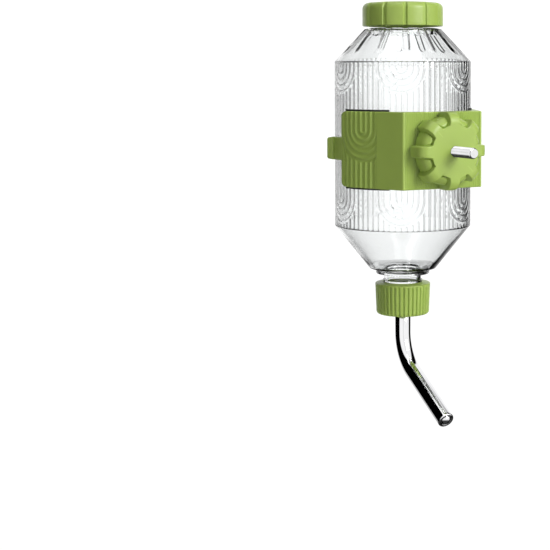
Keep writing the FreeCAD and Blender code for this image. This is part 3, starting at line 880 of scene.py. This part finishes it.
def plate(name, outline, low, high, bevel=0.0):
    """Tool or small part: a plan outline raised from low to high, with bevelled edges."""
    form = bmesh.new()
    corners = [form.verts.new((point.x, point.y, low)) for point in outline]
    face = form.faces.new(corners)
    made = bmesh.ops.extrude_face_region(form, geom=[face])["geom"]
    top = [part for part in made if isinstance(part, bmesh.types.BMVert)]
    bmesh.ops.translate(form, verts=top, vec=(0, 0, high - low))
    bmesh.ops.recalc_face_normals(form, faces=form.faces)
    if bevel:
        rims = [edge for edge in form.edges if abs(edge.verts[0].co.z - edge.verts[1].co.z) < 1e-6]
        bmesh.ops.bevel(form, geom=rims, offset=bevel, segments=4, profile=0.5, affect="EDGES",
                        material=-1)
    return finished(name, form, Matrix(), 40)


def carved(piece, cutters, added=()):
    """Cuts the tools out of a piece and joins the added solids to it, for good."""
    for tools, kind in ((added, "UNION"), (cutters, "DIFFERENCE")):
        for tool in tools:
            step = piece.modifiers.new(kind.lower(), "BOOLEAN")
            step.operation = kind
            step.object = tool
            step.solver = "EXACT"
    seen = piece.evaluated_get(bpy.context.evaluated_depsgraph_get())
    mesh = bpy.data.meshes.new_from_object(seen)
    piece.modifiers.clear()
    piece.data = mesh
    mesh.set_sharp_from_angle(angle=math.radians(35))
    for tool in (*cutters, *added):
        bpy.data.objects.remove(tool)


def tab_plan():
    """Plan of one finger tab: a tongue on the arm's end that turns out from the bottle."""
    turns = [arm_end_deg - 6 + k * (tab_wrap_deg - arm_end_deg + 6) / 10 for k in range(11)]
    outer = [about_clip(clip_r - 0.15, turn) for turn in turns]
    inner = [about_clip(clip_bore_r + 0.1, turn) for turn in turns]
    flare = math.radians(tab_wrap_deg + 90 - tab_flare_deg)
    on = Vector((math.cos(flare), math.sin(flare)))
    across = Vector((on.y, -on.x)) * (tab_t / 2)
    root = about_clip(clip_r - tab_t / 2, tab_wrap_deg)
    end = root + on * tab_len
    outer.append(root + on * 1.2 + across)
    tip = [end + across - on * 0.6, end + across * 0.85 - on * 0.15, end + across * 0.4,
           end - across * 0.4, end - across * 0.85 - on * 0.15, end - across - on * 0.6]
    return outer + tip + [root + on * 0.4 - across] + inner[::-1]


def tab_solid(name, side):
    """One finger tab, with its free corners rounded."""
    outline = [Vector((point.x, point.y * side)) for point in tab_plan()]
    tab = plate(name, outline, -tab_half_h, tab_half_h, 0.5)
    root = about_clip(clip_r - tab_t / 2, tab_wrap_deg)
    flare = math.radians(tab_wrap_deg + 90 - tab_flare_deg)
    on = Vector((math.cos(flare), math.sin(flare)))
    for vertex in tab.data.vertices:
        spot = Vector((vertex.co.x, vertex.co.y * side)) / mm - root
        room = max(spot.dot(on) - (tab_len - 2.0), 0)
        limit = tab_half_h - 2.0 + math.sqrt(max(4.0 - room ** 2, 0))
        vertex.co.z *= limit / tab_half_h
    return tab


def side_point(inset, share):
    """Point on the block's side, set in from its surface, at a share of the way to the arm."""
    corner = Vector((0, block_half_w))
    tangent = about_clip(clip_r, tangent_deg)
    way = (tangent - corner).normalized()
    return corner.lerp(tangent, share) + Vector((way.y, -way.x)) * -inset


def pocket(name, side):
    """Tool for one of the two pockets that keep the block's walls even."""
    front = Vector((-core_wall, core_half_gap))
    outline = [front, Vector((-core_wall, side_point(core_wall, 0.0).y - 1.2))]
    far_deg = tangent_deg - math.degrees(math.acos((clip_r - core_wall) / clip_r))
    near_deg = math.degrees(math.asin(core_half_gap / clip_r))
    outline += [about_clip(clip_r, far_deg + (near_deg - far_deg) * k / 12) for k in range(13)]
    outline = [Vector((point.x, point.y * side)) for point in outline]
    return plate(name, outline, -clip_half - 1, clip_half - core_wall)


def hexagon(across_flats, start_x, end_x, bevel=0.0):
    """Hexagonal prism along the stud's axis, corners up and down."""
    form = bmesh.new()
    bmesh.ops.create_cone(form, cap_ends=True, segments=6, radius1=across_flats / math.sqrt(3),
                          radius2=across_flats / math.sqrt(3), depth=end_x - start_x,
                          matrix=Matrix.Translation((0, 0, (start_x + end_x) / 2)))
    if bevel:
        bmesh.ops.bevel(form, geom=list(form.edges), offset=bevel, segments=2, profile=0.5,
                        affect="EDGES", material=-1)
    return form


stud_low, stud_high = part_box("clamp_stud")
head_back = stud_low.x / mm
head_front = head_back + 1.6
head_af = 12.0
hole = turned(rounded([(0, head_back - 1, 0), (stud_r + 0.02, head_back - 1, 0),
                       (stud_r + 0.02, 1, 0), (0, 1, 0)]), 64)
tools = [pocket("pocket_left", 1), pocket("pocket_right", -1),
         finished("stud_hole", hole, on_stud_axis),
         finished("head_pocket", hexagon(head_af + 0.1, head_back - 6, head_front), on_stud_axis)]
carved(bracket, tools, [tab_solid("tab_left", 1), tab_solid("tab_right", -1)])
bracket.data.materials.append(cap_green)
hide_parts("bracket_clip")
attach(bracket, "bracket")

# A thin near-black strip along each arm's bore stands in for the shade in the gap between arm and
# bottle: painted shade, seen as a thin dark line above and below the arm.
strip_r = clip_bore_r - 0.13
strip_bed_r = clip_bore_r + 0.2
strip_out = 1.0
strip_turns = range(40, 84)     # degrees round the bore, one point to a degree
strip_plan = ([about_clip(strip_r, turn) for turn in strip_turns]
              + [about_clip(strip_bed_r, turn) for turn in reversed(strip_turns)])
strips = bmesh.new()
for side in (1, -1):
    strip = [strips.verts.new((point.x, point.y * side, -clip_half - strip_out))
             for point in strip_plan]
    made = bmesh.ops.extrude_face_region(strips, geom=[strips.faces.new(strip)])["geom"]
    raised = [part for part in made if isinstance(part, bmesh.types.BMVert)]
    bmesh.ops.translate(strips, verts=raised, vec=(0, 0, 2 * (clip_half + strip_out)))
bmesh.ops.recalc_face_normals(strips, faces=strips.faces)
painted_shade_strips = finished("arm_painted_shade_strips", strips, Matrix(), 50)


def painted_shade_black():
    """Matt near-black for the painted shade lines along the arms, with a faint noise mottle."""
    material, shader = new_finish("painted_shade_black")
    tree = material.node_tree
    place = add_node(tree, "TexCoord").outputs["Object"]
    faint_mottle = add_node(tree, "TexNoise", {"Vector": place, "Scale": 700.0, "Detail": 4.0})
    shade = add_node(tree, "ValToRGB", {"Fac": faint_mottle.outputs["Fac"]})
    shade.color_ramp.elements[0].color = (0.010, 0.010, 0.010, 1)
    shade.color_ramp.elements[1].color = (0.035, 0.035, 0.034, 1)
    tree.links.new(shade.outputs["Color"], shader.inputs["Base Color"])
    shader.inputs["Roughness"].default_value = 0.75
    return material


painted_shade_strips.data.materials.append(painted_shade_black())
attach(painted_shade_strips, "bracket")

# ==== Clamp stud ==============================================================================
# Bright plated steel stud with a chamfered end. Its thin hexagon head is trapped in a pocket
# behind the clamping face, and the shank passes out between two wires of the cage.

stud_end = stud_high.x / mm
knob_low, knob_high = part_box("clamp_knob")
knob_back = knob_low.x / mm
knob_front = knob_high.x / mm
thread_r = stud_r - 0.05
thread_pitch = 1.0
thread_depth = 0.55
stud_outline = rounded([
    (0, head_front - 0.4, 0),
    (stud_r, head_front - 0.4, 0),
    (stud_r, knob_front - 1.0, 0.1),
    (thread_r, knob_front - 1.0, 0),
    (thread_r, stud_end - 0.6, 0.12),
    (thread_r - 0.6, stud_end, 0.12),
    (0, stud_end, 0),
], 3)


def stud_run(point):
    """Spacing of the stud's rows: fine on the free threaded part, coarse elsewhere."""
    return 0.125 if point.y > knob_front - 1.1 and point.x > 2 else 3.0


stud_form = turned(divided(stud_outline, stud_run), 64, closed=False)
for vertex in stud_form.verts:
    radius = vertex.co.xy.length
    if vertex.co.z > knob_front - 0.95 and radius > thread_r - 0.7:
        angle = math.atan2(vertex.co.y, vertex.co.x)
        place = (vertex.co.z / thread_pitch - angle / math.tau) % 1
        sink = thread_depth * min(abs(2 * place - 1) * 1.25, 1)
        depth = min(sink, max(radius - (thread_r - thread_depth), 0))
        vertex.co -= Vector((vertex.co.x, vertex.co.y, 0)) / radius * depth
head = hexagon(head_af, head_back, head_front, 0.25)
head_mesh = bpy.data.meshes.new("stud_head")
head.to_mesh(head_mesh)
head.free()
stud_form.from_mesh(head_mesh)
bpy.data.meshes.remove(head_mesh)
stud = finished("clamp_stud_steel", stud_form, on_stud_axis, 30)
bright_stud = metal_finish("bright_stud", (0.80, 0.80, 0.81), (300, 2600, 2600), 0.05, 0.13, 0.08)
stud.data.materials.append(bright_stud)
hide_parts("clamp_stud")
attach(stud, "bracket")

# ==== Clamp washer ============================================================================
# Plain steel washer between the knob and the cage's wires, blanked and tumbled smooth.

washer_low, washer_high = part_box("clamp_washer")
washer_form = turned(rounded([
    (stud_r + 0.2, washer_low.x / mm, 0.15),
    (washer_high.y / mm, washer_low.x / mm, 0.25),
    (washer_high.y / mm, washer_high.x / mm, 0.25),
    (stud_r + 0.2, washer_high.x / mm, 0.15),
], 3), 96)
washer = finished("clamp_washer_steel", washer_form, on_stud_axis, 50)
washer.data.materials.append(pressed_steel)
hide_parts("clamp_washer")
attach(washer, "washer")

# ==== Knob insert =============================================================================
# Brass sleeve with a thread inside, pressed into the back of the knob, where it stays.

insert_low, insert_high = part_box("knob_insert")
insert_r = insert_high.y / mm
insert_form = turned(rounded([
    (stud_r + 0.05, insert_low.x / mm, 0.2),
    (insert_r, insert_low.x / mm, 0.2),
    (insert_r, insert_high.x / mm, 0.2),
    (stud_r + 0.05, insert_high.x / mm, 0.2),
], 3), 96)
insert = finished("knob_insert_brass", insert_form, on_stud_axis, 50)
turned_brass = metal_finish("turned_brass", (0.72, 0.55, 0.26), (2400, 500, 500), 0.18, 0.3, 0.2)
insert.data.materials.append(turned_brass)
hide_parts("knob_insert")
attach(insert, "knob")

# ==== Clamp knob ==============================================================================
# Hand knob moulded in the green plastic. Eight straight-sided lobes stand up out of a rounded
# web, and each hollow between them ends in a soft groove.

knob_r = knob_high.y / mm
lobe_count = 8
lobe_w = 5.8
lobe_h = 2.5
web_drop = 1.8
scoop_inner_r = knob_r - 8.2
scoop_round = 1.1
knob_core_depth = 7.0
hub_r = insert_r + 2.6


def into_hollow(radius, angle):
    """Distance inside the edge of the hollow between two lobes; negative on a lobe."""
    step = math.tau / lobe_count
    turn = abs(angle % step - step / 2)
    side = radius * math.sin(step / 2 - turn) - lobe_w / 2
    inner = radius * math.cos(turn) - scoop_inner_r
    return -scoop_round * math.log(math.exp(-side / scoop_round) + math.exp(-inner / scoop_round))


def knob_run(point):
    """Length of the outline's steps: short on the face where the hollows end."""
    at_groove = point.y > knob_front - 1 and abs(point.x - scoop_inner_r - 1) < 2.5
    return 0.28 if at_groove else 0.5


knob_outline = divided(rounded([
    (stud_r - 0.05, knob_front, 0.15),
    (stud_r - 0.05, knob_front - 0.9, 0),
    (stud_r + 0.4, knob_front - 0.9, 0),
    (stud_r + 0.4, insert_high.x / mm, 0),
    (insert_r, insert_high.x / mm, 0),
    (insert_r, knob_back, 0.3),
    (hub_r, knob_back, 0.3),
    (hub_r, knob_back + knob_core_depth, 0.4),
    (hub_r + 6.5, knob_back + knob_core_depth, 0.4),
    (hub_r + 6.5, knob_back, 0.3),
    (knob_r, knob_back, 0.8),
    (knob_r, knob_front, 5.6),
], 12), knob_run)
knob_outline = divided(knob_outline + knob_outline[:1], knob_run)[:-1]
knob_form = turned(knob_outline, 8 * 52)
for vertex in knob_form.verts:
    radius = vertex.co.xy.length
    if radius < hub_r + 7.2:
        continue
    angle = math.atan2(vertex.co.y, vertex.co.x)
    depth = into_hollow(radius, angle)
    share = smooth_step(depth, -0.2, 0.9)
    groove = smooth_step(depth, 0.0, 0.5) * (1 - smooth_step(depth, 0.7, 1.7))
    fall = lobe_h * smooth_step(radius, scoop_inner_r - 0.5, knob_r)
    above = vertex.co.z - knob_back
    vertex.co.z -= above * (share * web_drop + 0.9 * groove) / (knob_front - knob_back)
    vertex.co.x -= fall * share * math.cos(angle)
    vertex.co.y -= fall * share * math.sin(angle)
knob = finished("clamp_knob_moulding", knob_form, on_stud_axis, 60)
knob.data.materials.append(cap_green)
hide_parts("clamp_knob")
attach(knob, "knob")

# ==== Studio ==================================================================================
# Plain pale floor well below the hanging bottle, a white background, and soft light from
# the right and from above, seen from the front and a little to the bottle's left side.


def studio_floor():
    """Wide round floor of matt white card."""
    floor_form = bmesh.new()
    bmesh.ops.create_circle(floor_form, cap_ends=True, segments=96, radius=1600.0,
                            matrix=Matrix.Translation((0, 0, -300.0)))
    piece = finished("studio_floor", floor_form, on_bottle_axis)
    material, shader = new_finish("floor_card")
    tree = material.node_tree
    place = add_node(tree, "TexCoord").outputs["Object"]
    fibre = add_node(tree, "TexNoise", {"Vector": place, "Scale": 400.0, "Detail": 3.0})
    shade = add_node(tree, "ValToRGB", {"Fac": fibre.outputs["Fac"]})
    shade.color_ramp.elements[0].color = (0.88, 0.88, 0.88, 1)
    shade.color_ramp.elements[1].color = (0.93, 0.93, 0.93, 1)
    shader.inputs["Roughness"].default_value = 0.9
    tree.links.new(shade.outputs["Color"], shader.inputs["Base Color"])
    white = add_node(tree, "Emission", {"Color": (1, 1, 1, 1), "Strength": 1.05})
    seen = add_node(tree, "LightPath")
    mix = add_node(tree, "MixShader", {0: seen.outputs["Is Camera Ray"], 1: shader.outputs["BSDF"],
                                       2: white.outputs["Emission"]})
    tree.links.new(mix.outputs["Shader"], tree.nodes["Material Output"].inputs["Surface"])
    piece.data.materials.append(material)
    piece.visible_glossy = False
    piece.visible_transmission = False


def light_round(tree, share, stops):
    """Brightness round a circle of directions, from stops of a turn in degrees and a level."""
    node = add_node(tree, "ValToRGB", {"Fac": share})
    ramp = node.color_ramp
    for number, (turn, level) in enumerate(stops):
        at = turn / 360 + 0.5
        stop = ramp.elements[number] if number < 2 else ramp.elements.new(at)
        stop.position = at
        stop.color = (level, level, level, 1)
    return node.outputs["Color"]


def studio_world():
    """White round the bottle, with dark gaps at its sides that draw the clear and steel edges."""
    world = bpy.data.worlds.new("studio")
    world.use_nodes = True
    bpy.context.scene.world = world
    tree = world.node_tree
    background = tree.nodes["Background"]
    way = add_node(tree, "SeparateXYZ",
                   {"Vector": add_node(tree, "TexCoord").outputs["Generated"]}).outputs
    azimuth = maths(tree, "ARCTAN2", way["Y"], way["X"])
    turn = maths(tree, "WRAP", maths(tree, "SUBTRACT", azimuth, math.radians(camera_azimuth_deg)),
                 math.pi, -math.pi)
    share = maths(tree, "MULTIPLY_ADD", turn, 1 / math.tau, 0.5)
    rays = add_node(tree, "LightPath").outputs
    level = light_round(tree, share, diffuse_stops)
    rise = add_node(tree, "MapRange", {"Value": way["Z"], "From Min": -0.55, "From Max": -0.25,
                                       "To Min": 0.05, "To Max": 1.0}).outputs["Result"]
    mirrored = maths(tree, "MULTIPLY", light_round(tree, share, glossy_stops), rise)
    steep = maths(tree, "ABSOLUTE", maths(tree, "ADD", way["Z"], 0.1))
    level_way = add_node(tree, "MapRange", {"Value": steep, "From Min": 0.24, "From Max": 0.5,
                                            "To Min": 1.0, "To Max": 0.1}).outputs["Result"]
    through = maths(tree, "MULTIPLY", light_round(tree, share, clear_stops), level_way)
    turned_back = maths(tree, "MULTIPLY", rays["Is Transmission Ray"],
                        maths(tree, "GREATER_THAN", rays["Glossy Depth"], 0.5))
    at_limb = maths(tree, "MULTIPLY", light_round(tree, share, limb_stops), level_way)
    for ray, seen in ((rays["Is Glossy Ray"], mirrored), (rays["Is Transmission Ray"], through),
                      (turned_back, at_limb), (rays["Is Camera Ray"], (1, 1, 1, 1))):
        level = add_node(tree, "Mix", {"Factor": ray, "A": level, "B": seen},
                         data_type="RGBA").outputs["Result"]
    tree.links.new(level, background.inputs["Color"])
    background.inputs["Strength"].default_value = 1.1


def soft_light(name, place, size, power, aim):
    """Area light at a place, turned to aim at a point."""
    light = bpy.data.lights.new(name, "AREA")
    light.shape = "RECTANGLE"
    light.size, light.size_y = size
    light.energy = power
    lamp = bpy.data.objects.new(name, light)
    lamp.location = place
    lamp.rotation_euler = (Vector(aim) - Vector(place)).to_track_quat("-Z", "Y").to_euler()
    bpy.context.scene.collection.objects.link(lamp)


camera_azimuth_deg = -29.41
camera_distance = 0.7476
camera_height = 0.0428
camera_pitch_deg = 4.0
camera_lens = 87.45
camera_shift = (-0.2322, -0.2033)


def studio_camera():
    """Camera in front of the stud's left side, with the bottle high and right in its view."""
    camera = bpy.data.cameras.new("camera")
    camera.lens = camera_lens
    camera.sensor_width = 36.0
    camera.shift_x, camera.shift_y = camera_shift
    stand = bpy.data.objects.new("camera", camera)
    azimuth = math.radians(camera_azimuth_deg)
    place = Vector((bottle_x + camera_distance * math.cos(azimuth),
                    camera_distance * math.sin(azimuth), camera_height))
    turn = (Matrix.Rotation(azimuth + math.radians(90), 4, "Z")
            @ Matrix.Rotation(math.radians(90 - camera_pitch_deg), 4, "X"))
    stand.matrix_world = Matrix.Translation(place) @ turn
    bpy.context.scene.collection.objects.link(stand)
    bpy.context.scene.camera = stand


diffuse_stops = [(-180, 0.2), (-90, 0.11), (0, 0.25), (80, 0.4), (180, 0.2)]
glossy_stops = [(-133, 1), (-127, 0), (-48, 0), (-42, 1), (6, 1), (7, 0.4), (9, 0.4), (10, 1),
                (93, 1), (98, 0), (140, 0), (146, 1)]
clear_stops = [(-180, 1), (100, 1), (108, 0), (163, 0), (168, 1)]
limb_stops = [(-180, 1), (95, 1), (105, 0), (180, 0)]
studio_floor()
studio_world()
soft_light("key", (1.2, 0.42, 0.55), (0.6, 0.8), 15.5, (0, 0, 0))
soft_light("top", (0.1, -0.2, 1.1), (0.9, 0.9), 4.0, (0, 0, 0))
studio_camera()
bpy.context.scene.view_settings.view_transform = "Standard"
